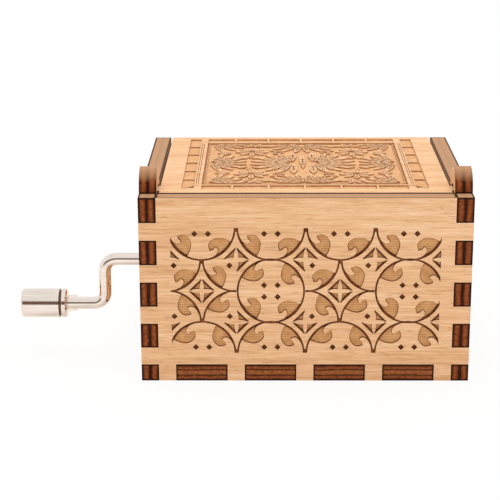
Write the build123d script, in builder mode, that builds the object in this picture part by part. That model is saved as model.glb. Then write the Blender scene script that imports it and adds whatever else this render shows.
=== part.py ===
from build123d import *
import os
from math import ceil, cos, hypot, pi, radians, sin, sqrt, tan

# Hand-cranked music box: a finger-jointed plywood case with a hinged lid over an
# eighteen-note cylinder movement, driven through a worm gear by a bent wire crank.
#
# Millimetres, Z up. The origin is the centre of the footprint, on the ground. The hinge
# side faces -Y, the opening side +Y, and the crank leaves the case through the -X wall.

# ---------------------------------------------------------------- case, driving sizes
case_length = 64.0  # outside, along X
case_width = 52.0  # outside, along Y
case_height = 37.1  # ground to the top edges of the walls
sheet = 3.4  # plywood thickness

corner_finger_count = 4  # fingers of each long wall at each corner
corner_finger_height = 3.5
long_side_tab_count = 4  # base tabs that show in each long wall
long_side_tab_length = 10.1
short_side_tab_count = 3  # base tabs that show in each short wall

hinge_setback = 4.0  # hinge wall's inner face to the hinge axis
ear_radius = 4.0  # round top of a hinge ear
ear_rise = 4.3  # ear above the wall tops
pivot_width = 3.6  # lid pivot, across the sheet's thickness
pivot_clearance = 0.12
pivot_end_gap = 0.1  # pivot end inside the wall's outer face
lid_side_gap = 0.4
nose_clearance = 0.2  # lid's front corners past the hinge wall as the lid turns

# ------------------------------------------------------------ movement, driving sizes
crank_rise = 16.7  # crank axis above the base board
crank_y = -10.0
crank_hole_radius = 3.0

gear_module = 0.5
pressure_angle = 20.0
tooth_addendum = 0.9  # in modules
tooth_dedendum = 1.2  # in modules
wheel_tooth_count = 24
wheel_width = 3.0
worm_pitch_radius = 2.0
worm_length = 9.0
tooth_backlash = 0.2  # total, at the pitch circle

cylinder_inset = 14.0  # bedplate's crank end to the cylinder axis
cylinder_radius = 6.5
cylinder_wall = 0.6
pin_height = 0.7
pin_radius = 0.28
melody_step_count = 48  # moments round the cylinder at which a pin may stand
first_voice_stride = 7  # notes up from one step to the next
second_voice_stride = 5
second_voice_start = 9

note_count = 18
tine_pitch = 1.0
tine_width = 0.74
tine_tip_thickness = 0.5
tine_root_thickness = 1.0
bass_tine_length = 14.0
treble_tine_length = 9.0
tip_clearance = 0.12  # pin tops past the tine tips
comb_y = 2.8  # middle of the comb
comb_length = 24.7
comb_thickness = 1.6
comb_margin = 0.4  # heel past the outer tines
comb_rise = 0.5  # comb's top above the cylinder axis
weighted_tine_count = 6  # bass tines that carry a lead weight
weight_length = 2.4
weight_width = 0.6
heaviest_weight = 2.2
lightest_weight = 1.0
weight_setback = 0.9  # tine tip to weight

bed_length = 50.0
bed_thickness = 2.0
bed_corner_radius = 3.0
bed_margin = 1.6  # bedplate past the bracket's web
window_side_gap = 0.8  # bedplate window past the pins
window_corner_radius = 1.5
post_thickness = 1.9
post_radius = 3.0
platform_setback = 0.6  # tine roots to the platform's front edge
platform_margin = 0.6  # platform past the comb's back edge
platform_roof = 2.6
platform_wall = 1.8
boss_radius = 2.3
boss_height = 2.6
boss_inset = 0.7  # boss to the plate's edge

bracket_sheet = 1.3
bracket_reach = 8.6  # cylinder axis to the inner face of each ear
bracket_ear_rim = 1.25  # metal round the larger shaft hole
bracket_ear_corner = 3.0
bracket_ear_depth = 2.4  # ear's foot past the crank axis
bracket_ear_taper = 7.8  # crank axis down to the end of the ear's slanted edge
bracket_web_height = 10.4
bracket_foot = 3.6
bracket_bend = 0.9

arbor_radius = 1.0
arbor_overhang = 0.3
running_clearance = 0.05
press_gap = 0.02  # between pieces that are pressed together
end_play = 0.25
hub_radius = 4.6
plug_depth = 3.0
boss_face_radius = 2.2  # thrust bosses on the cylinder's ends
wheel_boss = 0.85
cap_boss = 0.35
tube_margin = 1.7  # tube past the outer tines

journal_radius = 2.6
pivot_radius = 1.0
shaft_outer_gap = 1.0  # worm shaft's end to the crank wall
socket_depth = 6.0
clip_thickness = 0.6
clip_radius = 3.6
clip_groove_radius = 1.9
clip_gap_angle = 70.0

# --------------------------------------------------------------- crank, driving sizes
rod_radius = 1.25
crank_arm = 9.4
crank_reach = 8.4  # crank wall's outer face to the arm
elbow_radius = 2.5
knob_bend_radius = 2.3
knob_radius = 2.95
knob_length = 9.35
knob_arm_gap = 7.7  # arm to the knob's inner end
knob_collar_length = 1.13
knob_groove_width = 0.47
knob_groove_depth = 0.35
knob_edge = 0.35
knob_end_wall = 1.2
bead_radius = 1.8
bead_length = 1.0
bead_room = 0.15
crimp_height = 0.3
crimp_length = 1.8
crimp_thickness = 1.2

# ------------------------------------------------------------------- screws, all sorts
screw_thread_gap = 0.03
mount_screw_radius = 1.2
mount_screw_head_radius = 2.3
mount_screw_sink = 0.1  # head below the base board's face
mount_screw_head_angle = 90.0
mount_screw_grip = 3.6  # thread in the bedplate's boss
mount_screw_recess = 2.6  # across the driver's cross
comb_screw_radius = 1.2
comb_screw_head_radius = 2.2
comb_screw_head_height = 1.5
comb_screw_grip = 2.4
comb_screw_spacing = 11.0
comb_screw_inset = 4.5  # from the comb's back edge
bracket_screw_radius = 0.9
bracket_screw_head_radius = 1.6
bracket_screw_head_height = 1.1
slot_width = 0.5
slot_depth = 0.6

# ----------------------------------------------------------------- sizes that follow
half_length = case_length / 2
half_width = case_width / 2
inner_length = case_length - 2 * sheet
inner_width = case_width - 2 * sheet
finger_pitch = (case_height - sheet) / corner_finger_count
foot_width = (inner_length - long_side_tab_count * long_side_tab_length) / (long_side_tab_count + 1)
short_side_tab_length = (inner_width - (short_side_tab_count + 1) * foot_width) / short_side_tab_count

lid_underside = case_height - sheet
hinge_y = -inner_width / 2 + hinge_setback
hinge_z = case_height - sheet / 2
lid_nose = sqrt((hinge_setback - nose_clearance) ** 2 - (sheet / 2) ** 2)
pivot_hole_radius = hypot(pivot_width, sheet) / 2 + pivot_clearance

bed_top = sheet + bed_thickness
cylinder_x = -bed_length / 2 + cylinder_inset
crank_z = sheet + crank_rise
wheel_pitch_radius = gear_module * wheel_tooth_count / 2
cylinder_z = crank_z - wheel_pitch_radius - worm_pitch_radius
pin_top_radius = cylinder_radius + pin_height
first_tine_y = comb_y - (note_count - 1) / 2 * tine_pitch
last_tine_y = comb_y + (note_count - 1) / 2 * tine_pitch
tube_start = first_tine_y - tube_margin
tube_end = last_tine_y + tube_margin
tube_bore = cylinder_radius - cylinder_wall

web_inner = crank_y - wheel_width / 2 - wheel_boss - end_play
web_outer = web_inner - bracket_sheet
post_inner = tube_end + cap_boss + end_play
post_outer = post_inner + post_thickness
bed_y_min = web_outer - bed_margin
bed_y_max = post_outer

tip_x = cylinder_x + pin_top_radius + tip_clearance
comb_back = tip_x + comb_length
comb_top = cylinder_z + comb_rise
comb_underside = comb_top - comb_thickness
comb_half_width = note_count * tine_pitch / 2 + comb_margin
comb_screw_x = comb_back - comb_screw_inset

journal_hole_radius = journal_radius + running_clearance
ear_top_radius = journal_hole_radius + bracket_ear_rim
left_ear = cylinder_x - bracket_reach - bracket_sheet
right_ear = cylinder_x + bracket_reach

crank_wall_inner = -inner_length / 2
arm_x = -half_length - crank_reach
knob_z = crank_z - crank_arm
knob_inner = arm_x - knob_arm_gap
knob_outer = knob_inner - knob_length
shaft_outer = crank_wall_inner + shaft_outer_gap

crank_axis = Axis((0, crank_y, crank_z), (1, 0, 0))
knob_axis = Axis((0, crank_y, knob_z), (1, 0, 0))
cylinder_axis = Axis((cylinder_x, 0, cylinder_z), (0, 1, 0))
crank_plane = Plane.XZ.offset(-crank_y)  # upright plane through the crank and the knob
cylinder_plane = Plane.YZ.offset(cylinder_x)  # upright plane through the cylinder's axis

mount_screw_places = [
    (-bed_length / 2 + boss_radius + boss_inset, comb_y),
    (bed_length / 2 - boss_radius - boss_inset, bed_y_min + boss_radius + boss_inset),
    (bed_length / 2 - boss_radius - boss_inset, bed_y_max - boss_radius - boss_inset),
]
comb_screw_places = [
    (comb_screw_x, comb_y - comb_screw_spacing / 2),
    (comb_screw_x, comb_y + comb_screw_spacing / 2),
]
mount_screw_slope = tan(radians(mount_screw_head_angle / 2))
ear_foot_y = crank_y + bracket_ear_depth
ear_front = crank_y + ear_top_radius
ear_top = crank_z + ear_top_radius
foot_start_y = web_outer + bracket_sheet + bracket_bend
bracket_foot_y = (foot_start_y + ear_foot_y) / 2
bracket_screw_places = [
    (left_ear - bracket_foot / 2, bracket_foot_y),
    (right_ear + bracket_sheet + bracket_foot / 2, bracket_foot_y),
]


def finger_heights():
    """Mid-height of each corner finger of the long walls."""
    return [sheet + i * finger_pitch + corner_finger_height / 2 for i in range(corner_finger_count)]


def tab_centres(count, length):
    """Centres of a row of base tabs along one side, with a foot between neighbours."""
    pitch = length + foot_width
    return [(i - (count - 1) / 2) * pitch for i in range(count)]


long_tab_centres = tab_centres(long_side_tab_count, long_side_tab_length)
short_tab_centres = tab_centres(short_side_tab_count, short_side_tab_length)


def tine_y(number):
    """Middle of a tine, counted from the bass end."""
    return first_tine_y + number * tine_pitch


def tine_root(y):
    """X of the line where the tines leave the heel, slanting from bass to treble."""
    share = (y - first_tine_y) / (last_tine_y - first_tine_y)
    return tip_x + bass_tine_length + (treble_tine_length - bass_tine_length) * share


# =============================================================================== case
with BuildPart() as base_board:
    with BuildSketch():
        Rectangle(inner_length, inner_width)
        for side in (-1, 1):
            long_row = side * (half_width - sheet / 2)
            short_row = side * (half_length - sheet / 2)
            with Locations(*[(x, long_row) for x in long_tab_centres]):
                Rectangle(long_side_tab_length, sheet)
            with Locations(*[(short_row, y) for y in short_tab_centres]):
                Rectangle(sheet, short_side_tab_length)
    extrude(amount=sheet)
    for place in mount_screw_places:
        with Locations(Plane(origin=(*place, 0), z_dir=(0, 0, -1))):
            CounterSinkHole(
                radius=mount_screw_radius + press_gap,
                counter_sink_radius=(
                    mount_screw_head_radius + mount_screw_sink * mount_screw_slope + press_gap
                ),
                depth=sheet,
                counter_sink_angle=mount_screw_head_angle,
            )

# Outline of the two long walls, seen from outside: X across, Z up.
with BuildSketch() as long_wall_outline:
    with Locations((0, case_height / 2)):
        Rectangle(inner_length, case_height)
    with Locations(*[(0, z) for z in finger_heights()]):
        Rectangle(case_length, corner_finger_height)
    with Locations(*[(x, sheet / 2) for x in long_tab_centres]):
        Rectangle(long_side_tab_length, sheet, mode=Mode.SUBTRACT)

with BuildPart() as hinge_side_wall:
    with BuildSketch(Plane.XZ.offset(half_width - sheet)):
        add(long_wall_outline.sketch)
    extrude(amount=sheet)

# The opening wall stops under the lid, which rests on it.
with BuildPart() as opening_side_wall:
    with BuildSketch(Plane.XZ.offset(-half_width)):
        add(long_wall_outline.sketch)
        with Locations((0, case_height - sheet / 2)):
            Rectangle(case_length, sheet, mode=Mode.SUBTRACT)
    extrude(amount=sheet)

# Outline of the two short walls: Y across, Z up, with the hinge ear on the -Y end.
with BuildSketch() as short_wall_outline:
    with Locations((0, case_height / 2)):
        Rectangle(case_width, case_height)
    with Locations((hinge_y, case_height + (ear_rise - ear_radius) / 2)):
        Rectangle(2 * ear_radius, ear_rise - ear_radius)
    with Locations((hinge_y, case_height + ear_rise - ear_radius)):
        Circle(ear_radius)
    for side in (-1, 1):
        with Locations(*[(side * (half_width - sheet / 2), z) for z in finger_heights()]):
            Rectangle(sheet, corner_finger_height, mode=Mode.SUBTRACT)
    with Locations(*[(y, sheet / 2) for y in short_tab_centres]):
        Rectangle(short_side_tab_length, sheet, mode=Mode.SUBTRACT)
    with Locations((hinge_y, hinge_z)):
        Circle(pivot_hole_radius, mode=Mode.SUBTRACT)

with BuildPart() as crank_side_wall:
    with BuildSketch(Plane.YZ.offset(-half_length)):
        add(short_wall_outline.sketch)
        with Locations((crank_y, crank_z)):
            Circle(crank_hole_radius, mode=Mode.SUBTRACT)
    extrude(amount=sheet)

with BuildPart() as far_side_wall:
    with BuildSketch(Plane.YZ.offset(half_length - sheet)):
        add(short_wall_outline.sketch)
    extrude(amount=sheet)

# The lid lies between the short walls and turns on two pivots cut in one piece with it.
with BuildPart() as lid:
    lid_back = half_width
    lid_front = hinge_y - lid_nose
    with BuildSketch(Plane.XY.offset(lid_underside)):
        with Locations((0, (lid_back + lid_front) / 2)):
            Rectangle(inner_length - 2 * lid_side_gap, lid_back - lid_front)
        with Locations((0, hinge_y)):
            Rectangle(case_length - 2 * pivot_end_gap, pivot_width)
    extrude(amount=sheet)

# =========================================================================== movement
# Cast bedplate: a plate with a window under the cylinder, a bearing post, a hollow
# platform for the comb, and three bosses for the screws from below.
with BuildPart() as bedplate:
    bed_middle = (bed_y_min + bed_y_max) / 2
    with BuildSketch(Plane.XY.offset(sheet)):
        with Locations((0, bed_middle)):
            RectangleRounded(bed_length, bed_y_max - bed_y_min, bed_corner_radius)
    extrude(amount=bed_thickness)

    # comb platform, its front edge parallel to the line of the tine roots
    platform_front = comb_y - comb_half_width
    platform_rear = comb_y + comb_half_width
    platform_back = comb_back + platform_margin
    with BuildSketch(Plane.XY.offset(sheet)):
        with BuildLine():
            Polyline(
                (tine_root(platform_front) + platform_setback, platform_front),
                (platform_back, platform_front),
                (platform_back, platform_rear),
                (tine_root(platform_rear) + platform_setback, platform_rear),
                close=True,
            )
        make_face()
    extrude(amount=comb_underside - sheet)

    with BuildSketch(Plane.XY.offset(sheet)):
        with Locations(*mount_screw_places):
            Circle(boss_radius)
    extrude(amount=bed_thickness + boss_height)

    # bearing post at the cylinder's far end, over the edge of the plate
    with BuildSketch(Plane.XZ.offset(-post_outer)):
        with Locations((cylinder_x, (sheet + cylinder_z) / 2)):
            Rectangle(2 * post_radius, cylinder_z - sheet)
        with Locations((cylinder_x, cylinder_z)):
            Circle(post_radius)
    extrude(amount=post_thickness)

    # window under the wheel and the cylinder
    window_y_min = web_inner + end_play
    window_y_max = post_inner - end_play
    with BuildSketch(Plane.XY.offset(sheet)):
        with Locations((cylinder_x, (window_y_min + window_y_max) / 2)):
            RectangleRounded(
                2 * (pin_top_radius + window_side_gap),
                window_y_max - window_y_min,
                window_corner_radius,
            )
    extrude(amount=bed_thickness, mode=Mode.SUBTRACT)

    # hollow under the platform, round the screw bosses
    hollow_front_x = tine_root(first_tine_y) + platform_setback + platform_wall
    hollow_back_x = platform_back - platform_wall
    hollow_width = 2 * (comb_half_width - platform_wall)
    with BuildSketch(Plane.XY.offset(sheet)):
        with Locations(((hollow_front_x + hollow_back_x) / 2, comb_y)):
            Rectangle(hollow_back_x - hollow_front_x, hollow_width)
        with Locations(*comb_screw_places, *mount_screw_places):
            Circle(boss_radius, mode=Mode.SUBTRACT)
    extrude(amount=comb_underside - platform_roof - sheet, mode=Mode.SUBTRACT)

    # bearing hole and screw holes
    with BuildSketch(Plane.XZ.offset(-post_outer)):
        with Locations((cylinder_x, cylinder_z)):
            Circle(arbor_radius + running_clearance)
    extrude(amount=post_thickness, mode=Mode.SUBTRACT)
    with BuildSketch(Plane.XY.offset(sheet)):
        with Locations(*mount_screw_places):
            Circle(mount_screw_radius + screw_thread_gap)
    extrude(amount=mount_screw_grip + press_gap, mode=Mode.SUBTRACT)
    with BuildSketch(Plane.XY.offset(comb_underside)):
        with Locations(*comb_screw_places):
            Circle(comb_screw_radius + screw_thread_gap)
    extrude(amount=-comb_screw_grip - press_gap, mode=Mode.SUBTRACT)
    with BuildSketch(Plane.XY.offset(sheet)):
        with Locations(*bracket_screw_places):
            Circle(bracket_screw_radius + screw_thread_gap)
    extrude(amount=bed_thickness, mode=Mode.SUBTRACT)

# Stamped bracket: a web across the wheel's outer face carries the cylinder's arbor, two
# ears folded from it carry the worm shaft, and a foot is folded out from under each ear.
with BuildSketch() as bracket_ear_outline:
    with BuildLine():
        Polyline(
            (web_outer, bed_top),
            (web_outer, ear_top),
            (ear_front, ear_top),
            (ear_front, crank_z),
            (ear_foot_y, crank_z - bracket_ear_taper),
            (ear_foot_y, bed_top),
            close=True,
        )
    make_face()
    fillet(bracket_ear_outline.vertices().group_by(Axis.Y)[-1], radius=bracket_ear_corner)

with BuildPart() as gear_bracket:
    # the folded strip seen from above, trimmed to the ears' outline and the web's height
    strip_middle = (left_ear + right_ear + bracket_sheet) / 2
    with BuildSketch(Plane.XY.offset(bed_top)) as folded_strip:
        with Locations((strip_middle, (web_outer + ear_front) / 2)):
            Rectangle(2 * bracket_sheet + 2 * bracket_reach, ear_front - web_outer)
        fillet(folded_strip.vertices().group_by(Axis.Y)[0], radius=bracket_bend + bracket_sheet)
        with Locations((strip_middle, (web_inner + ear_front) / 2)):
            Rectangle(2 * bracket_reach, ear_front - web_inner, mode=Mode.SUBTRACT)
        fillet(folded_strip.vertices().group_by(Axis.Y)[1], radius=bracket_bend)
    extrude(amount=ear_top - bed_top)
    with BuildSketch(Plane.YZ.offset(left_ear)):
        add(bracket_ear_outline.sketch)
    extrude(amount=2 * bracket_sheet + 2 * bracket_reach, mode=Mode.INTERSECT)
    with BuildSketch(Plane.XZ.offset(-web_outer)):
        with Locations((strip_middle, (bed_top + bracket_web_height + ear_top) / 2)):
            Rectangle(2 * bracket_reach, ear_top - bed_top - bracket_web_height)
    extrude(amount=-bracket_sheet - bracket_bend, mode=Mode.SUBTRACT)
    with BuildSketch(Plane.XY.offset(bed_top)):
        for foot_x, _ in bracket_screw_places:
            with Locations((foot_x, bracket_foot_y)):
                Rectangle(bracket_foot, ear_foot_y - foot_start_y)
    extrude(amount=bracket_sheet)

    with BuildSketch(Plane.YZ.offset(left_ear)):
        with Locations((crank_y, crank_z)):
            Circle(journal_hole_radius)
    extrude(amount=bracket_sheet, mode=Mode.SUBTRACT)
    with BuildSketch(Plane.YZ.offset(right_ear)):
        with Locations((crank_y, crank_z)):
            Circle(pivot_radius + running_clearance)
    extrude(amount=bracket_sheet, mode=Mode.SUBTRACT)
    with BuildSketch(Plane.XZ.offset(-web_inner)):
        with Locations((cylinder_x, cylinder_z)):
            Circle(arbor_radius + running_clearance)
    extrude(amount=bracket_sheet, mode=Mode.SUBTRACT)
    with BuildSketch(Plane.XY.offset(bed_top)):
        with Locations(*bracket_screw_places):
            Circle(bracket_screw_radius + screw_thread_gap)
    extrude(amount=bracket_sheet, mode=Mode.SUBTRACT)

# Steel comb: a heel plate and eighteen tines, thinner towards their tips.
with BuildPart() as comb:
    heel_front = comb_y - comb_half_width
    heel_rear = comb_y + comb_half_width
    with BuildSketch(Plane.XY.offset(comb_underside)):
        with BuildLine():
            Polyline(
                (tine_root(heel_front), heel_front),
                (comb_back, heel_front),
                (comb_back, heel_rear),
                (tine_root(heel_rear), heel_rear),
                close=True,
            )
        make_face()
        with Locations(*comb_screw_places):
            Circle(comb_screw_radius + screw_thread_gap, mode=Mode.SUBTRACT)
    extrude(amount=comb_thickness)
    for number in range(note_count):
        root = tine_root(tine_y(number) + tine_width / 2)
        sunk_root = root + comb_thickness
        with BuildSketch(Plane.XZ.offset(-tine_y(number))):
            with BuildLine():
                Polyline(
                    (tip_x, comb_top),
                    (tip_x, comb_top - tine_tip_thickness),
                    (root, comb_top - tine_root_thickness),
                    (sunk_root, comb_top - tine_root_thickness),
                    (sunk_root, comb_top),
                    close=True,
                )
            make_face()
        extrude(amount=tine_width / 2, both=True)

# Lead weights under the bass tines, heavier towards the lowest note.
with BuildPart() as comb_weights:
    for number in range(weighted_tine_count):
        share = number / (weighted_tine_count - 1)
        drop = heaviest_weight + (lightest_weight - heaviest_weight) * share
        free_length = tine_root(tine_y(number) + tine_width / 2) - tip_x
        taper = (tine_root_thickness - tine_tip_thickness) / free_length
        near = weight_setback
        far = weight_setback + weight_length
        with BuildSketch(Plane.XZ.offset(-tine_y(number))):
            with BuildLine():
                Polyline(
                    (tip_x + near, comb_top - tine_tip_thickness - near * taper),
                    (tip_x + far, comb_top - tine_tip_thickness - far * taper),
                    (tip_x + far, comb_top - tine_tip_thickness - drop),
                    (tip_x + near, comb_top - tine_tip_thickness - drop),
                    close=True,
                )
            make_face()
        extrude(amount=weight_width / 2, both=True)

# ------------------------------------------------------------------ pinned cylinder
with BuildPart() as pin_cylinder:
    with BuildSketch(cylinder_plane):
        with Locations(((tube_start + tube_end) / 2, cylinder_z + cylinder_radius - cylinder_wall / 2)):
            Rectangle(tube_end - tube_start, cylinder_wall)
    revolve(axis=cylinder_axis)
    # A running figure in two voices: at each step one note, and a second at every other.
    for step in range(melody_step_count):
        turn = radians(360 * step / melody_step_count)
        outward = Vector(sin(turn), 0, cos(turn))
        voices = {step * first_voice_stride % note_count}
        if step % 2 == 0:
            voices.add((step * second_voice_stride + second_voice_start) % note_count)
        for note in sorted(voices):
            axis_point = Vector(cylinder_x, tine_y(note), cylinder_z)
            foot = axis_point + outward * (cylinder_radius - cylinder_wall / 2)
            with BuildSketch(Plane(origin=foot, x_dir=(0, 1, 0), z_dir=outward)):
                RegularPolygon(pin_radius, side_count=6)
    extrude(amount=pin_height + cylinder_wall / 2)

with BuildPart() as cylinder_arbor:
    with BuildSketch(Plane.XZ.offset(-web_outer + arbor_overhang)):
        with Locations((cylinder_x, cylinder_z)):
            Circle(arbor_radius)
    extrude(amount=-(post_outer - web_outer + 2 * arbor_overhang))

with BuildPart() as cylinder_end_cap:
    with BuildSketch(cylinder_plane):
        with BuildLine():
            Polyline(
                (tube_end - plug_depth, cylinder_z + arbor_radius + press_gap),
                (tube_end - plug_depth, cylinder_z + tube_bore - press_gap),
                (tube_end, cylinder_z + tube_bore - press_gap),
                (tube_end, cylinder_z + boss_face_radius),
                (tube_end + cap_boss, cylinder_z + boss_face_radius),
                (tube_end + cap_boss, cylinder_z + arbor_radius + press_gap),
                close=True,
            )
        make_face()
    revolve(axis=cylinder_axis)

# ------------------------------------------------------------------------ worm gear
# The rack that the worm's thread makes in its own axial plane sets both tooth forms:
# flanks at the pressure angle, equal teeth and gaps less the backlash.
thread_pitch = pi * gear_module
addendum = gear_module * tooth_addendum
dedendum = gear_module * tooth_dedendum
tooth_half_width = thread_pitch / 4 - tooth_backlash / 4
flank_slope = tan(radians(pressure_angle))
lead_slope = thread_pitch / (2 * pi * worm_pitch_radius)


def wheel_outline(turn):
    """Tooth outline of the wheel, turned by an angle in radians about the +Y axis."""
    points = []
    for tooth in range(wheel_tooth_count):
        # a gap, not a tooth, stands straight up under the worm
        middle = 2 * pi * (tooth + 0.5) / wheel_tooth_count + turn
        for radius, side in ((-dedendum, -1), (addendum, -1), (addendum, 1), (-dedendum, 1)):
            reach = wheel_pitch_radius + radius
            half_angle = (tooth_half_width - radius * flank_slope) / wheel_pitch_radius
            angle = middle + side * half_angle
            points.append((cylinder_x + reach * sin(angle), cylinder_z + reach * cos(angle)))
    return points


with BuildPart() as worm_wheel:
    for y in (crank_y - wheel_width / 2, crank_y + wheel_width / 2):
        twist = lead_slope * (y - crank_y) / wheel_pitch_radius
        with BuildSketch(Plane.XZ.offset(-y)):
            with BuildLine():
                Polyline(*wheel_outline(twist), close=True)
            make_face()
    loft(ruled=True)
    with BuildSketch(cylinder_plane):
        with BuildLine():
            Polyline(
                (crank_y - wheel_width / 2 - wheel_boss, cylinder_z),
                (crank_y - wheel_width / 2 - wheel_boss, cylinder_z + boss_face_radius),
                (crank_y - wheel_width / 2, cylinder_z + boss_face_radius),
                (crank_y - wheel_width / 2, cylinder_z + hub_radius),
                (tube_start, cylinder_z + hub_radius),
                (tube_start, cylinder_z + tube_bore - press_gap),
                (tube_start + plug_depth, cylinder_z + tube_bore - press_gap),
                (tube_start + plug_depth, cylinder_z),
                close=True,
            )
        make_face()
    revolve(axis=cylinder_axis)
    with BuildSketch(Plane.XZ.offset(-web_inner)):
        with Locations((cylinder_x, cylinder_z)):
            Circle(arbor_radius + press_gap)
    extrude(amount=-(tube_start + plug_depth - web_inner), mode=Mode.SUBTRACT)

# Worm shaft: the stout journal passes the left ear, the worm hangs between the ears, and
# a slim pivot runs in the right ear. The crank rod screws into the journal's outer end.
worm_core_radius = worm_pitch_radius - dedendum
worm_tip_radius = worm_pitch_radius + addendum
worm_start = cylinder_x - worm_length / 2
clip_start = left_ear + bracket_sheet + end_play
clip_groove_end = clip_start + clip_thickness + 2 * press_gap
journal_end = clip_groove_end + clip_thickness
pivot_start = right_ear - end_play
pivot_end = right_ear + bracket_sheet + arbor_overhang
half_turns = ceil(worm_length / thread_pitch / 2) + 0.5
thread_start = cylinder_x - half_turns * thread_pitch  # a crest stands over the wheel's gap

with BuildPart() as worm_shaft:
    # The thread is swept a little long, then cut square at both ends.
    with BuildLine():
        thread_path = Helix(
            pitch=thread_pitch,
            height=2 * half_turns * thread_pitch,
            radius=worm_pitch_radius,
            center=(thread_start, crank_y, crank_z),
            direction=(1, 0, 0),
        )
    start_point = thread_path @ 0
    start_outward = start_point - Vector(start_point.X, crank_y, crank_z)
    with BuildSketch(Plane(origin=start_point, x_dir=start_outward, z_dir=thread_path % 0)):
        with BuildLine():
            Polyline(
                (-dedendum - press_gap, tooth_half_width + dedendum * flank_slope),
                (addendum, tooth_half_width - addendum * flank_slope),
                (addendum, -tooth_half_width + addendum * flank_slope),
                (-dedendum - press_gap, -tooth_half_width - dedendum * flank_slope),
                close=True,
            )
        make_face()
    sweep(path=thread_path, is_frenet=True)
    with BuildSketch(Plane.YZ.offset(worm_start)):
        with Locations((crank_y, crank_z)):
            Circle(2 * worm_tip_radius)
    extrude(amount=worm_length, mode=Mode.INTERSECT)

    with BuildSketch(crank_plane):
        with BuildLine():
            Polyline(
                (shaft_outer, crank_z),
                (shaft_outer, crank_z + journal_radius),
                (clip_start - press_gap, crank_z + journal_radius),
                (clip_start - press_gap, crank_z + clip_groove_radius),
                (clip_groove_end, crank_z + clip_groove_radius),
                (clip_groove_end, crank_z + journal_radius),
                (journal_end, crank_z + journal_radius),
                (worm_start - gear_module, crank_z + worm_core_radius),
                (pivot_start, crank_z + worm_core_radius),
                (pivot_start, crank_z + pivot_radius),
                (pivot_end, crank_z + pivot_radius),
                (pivot_end, crank_z),
                close=True,
            )
        make_face()
    revolve(axis=crank_axis)
    with BuildSketch(Plane.YZ.offset(shaft_outer)):
        with Locations((crank_y, crank_z)):
            Circle(rod_radius + press_gap)
    extrude(amount=socket_depth, mode=Mode.SUBTRACT)

# Open spring clip in the shaft's groove, which keeps the shaft from sliding out.
with BuildPart() as shaft_clip:
    with BuildSketch(Plane.YZ.offset(clip_start)):
        with Locations((crank_y, crank_z)):
            Circle(clip_radius)
            Circle(clip_groove_radius + press_gap, mode=Mode.SUBTRACT)
        mouth = 2 * clip_radius * tan(radians(clip_gap_angle / 2))
        with BuildLine():
            Polyline(
                (crank_y, crank_z),
                (crank_y - mouth / 2, crank_z + clip_radius),
                (crank_y + mouth / 2, crank_z + clip_radius),
                close=True,
            )
        make_face(mode=Mode.SUBTRACT)
    extrude(amount=clip_thickness)

# ============================================================================== crank
# One bent rod. Its far end carries a bead inside the knob, and two crimped ears outside.
with BuildPart() as crank_rod:
    knob_mouth_end = knob_inner - knob_collar_length
    rod_end = knob_outer + knob_end_wall + bead_room
    with BuildLine(crank_plane):
        rod_path = FilletPolyline(
            (shaft_outer + socket_depth - press_gap, crank_z),
            (arm_x, crank_z),
            (arm_x, knob_z),
            (rod_end, knob_z),
            radius=[elbow_radius, knob_bend_radius],
        )
    with BuildSketch(Plane(origin=rod_path @ 0, z_dir=rod_path % 0)):
        Circle(rod_radius)
    sweep(path=rod_path)
    with BuildSketch(crank_plane):
        with Locations((knob_mouth_end - bead_room - bead_length / 2, knob_z + bead_radius / 2)):
            Rectangle(bead_length, bead_radius)
    revolve(axis=knob_axis)
    with BuildSketch(crank_plane):
        with Locations((knob_inner + bead_room + crimp_length / 2, knob_z)):
            SlotOverall(crimp_length + 2 * rod_radius, 2 * (rod_radius + crimp_height))
            Rectangle(crimp_length, 4 * rod_radius, mode=Mode.INTERSECT)
    extrude(amount=crimp_thickness / 2, both=True)

# Turned knob, free on the rod: its collar is rolled over the rod's bead.
with BuildPart() as crank_knob:
    bore = rod_radius + running_clearance
    room = bead_radius + running_clearance
    groove_start = knob_inner - knob_collar_length - knob_groove_width
    room_end = knob_mouth_end - 2 * bead_room - bead_length
    bore_end = knob_outer + knob_end_wall
    with BuildSketch(crank_plane):
        with BuildLine():
            Polyline(
                (knob_outer, knob_z),
                (knob_outer, knob_z + knob_radius - knob_edge),
                (knob_outer + knob_edge, knob_z + knob_radius),
                (groove_start, knob_z + knob_radius),
                (groove_start, knob_z + knob_radius - knob_groove_depth),
                (groove_start + knob_groove_width, knob_z + knob_radius - knob_groove_depth),
                (groove_start + knob_groove_width, knob_z + knob_radius),
                (knob_inner - knob_edge, knob_z + knob_radius),
                (knob_inner, knob_z + knob_radius - knob_edge),
                (knob_inner, knob_z + bore),
                (knob_mouth_end, knob_z + bore),
                (knob_mouth_end, knob_z + room),
                (room_end, knob_z + room),
                (room_end, knob_z + bore),
                (bore_end, knob_z + bore),
                (bore_end, knob_z),
                close=True,
            )
        make_face()
    revolve(axis=knob_axis)

# ============================================================================= screws
# Countersunk screws from under the base board into the bedplate's bosses.
with BuildPart() as mounting_screws:
    for x, y in mount_screw_places:
        head_depth = (mount_screw_head_radius - mount_screw_radius) / mount_screw_slope
        with BuildSketch(Plane.XZ.offset(-y)):
            with BuildLine():
                Polyline(
                    (x, mount_screw_sink),
                    (x + mount_screw_head_radius, mount_screw_sink),
                    (x + mount_screw_radius, mount_screw_sink + head_depth),
                    (x + mount_screw_radius, sheet + mount_screw_grip),
                    (x, sheet + mount_screw_grip),
                    close=True,
                )
            make_face()
        revolve(axis=Axis((x, y, 0), (0, 0, 1)))
    with BuildSketch(Plane.XY.offset(mount_screw_sink)):
        with Locations(*mount_screw_places):
            Rectangle(mount_screw_recess, slot_width)
            Rectangle(slot_width, mount_screw_recess)
    extrude(amount=slot_depth, mode=Mode.SUBTRACT)

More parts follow.
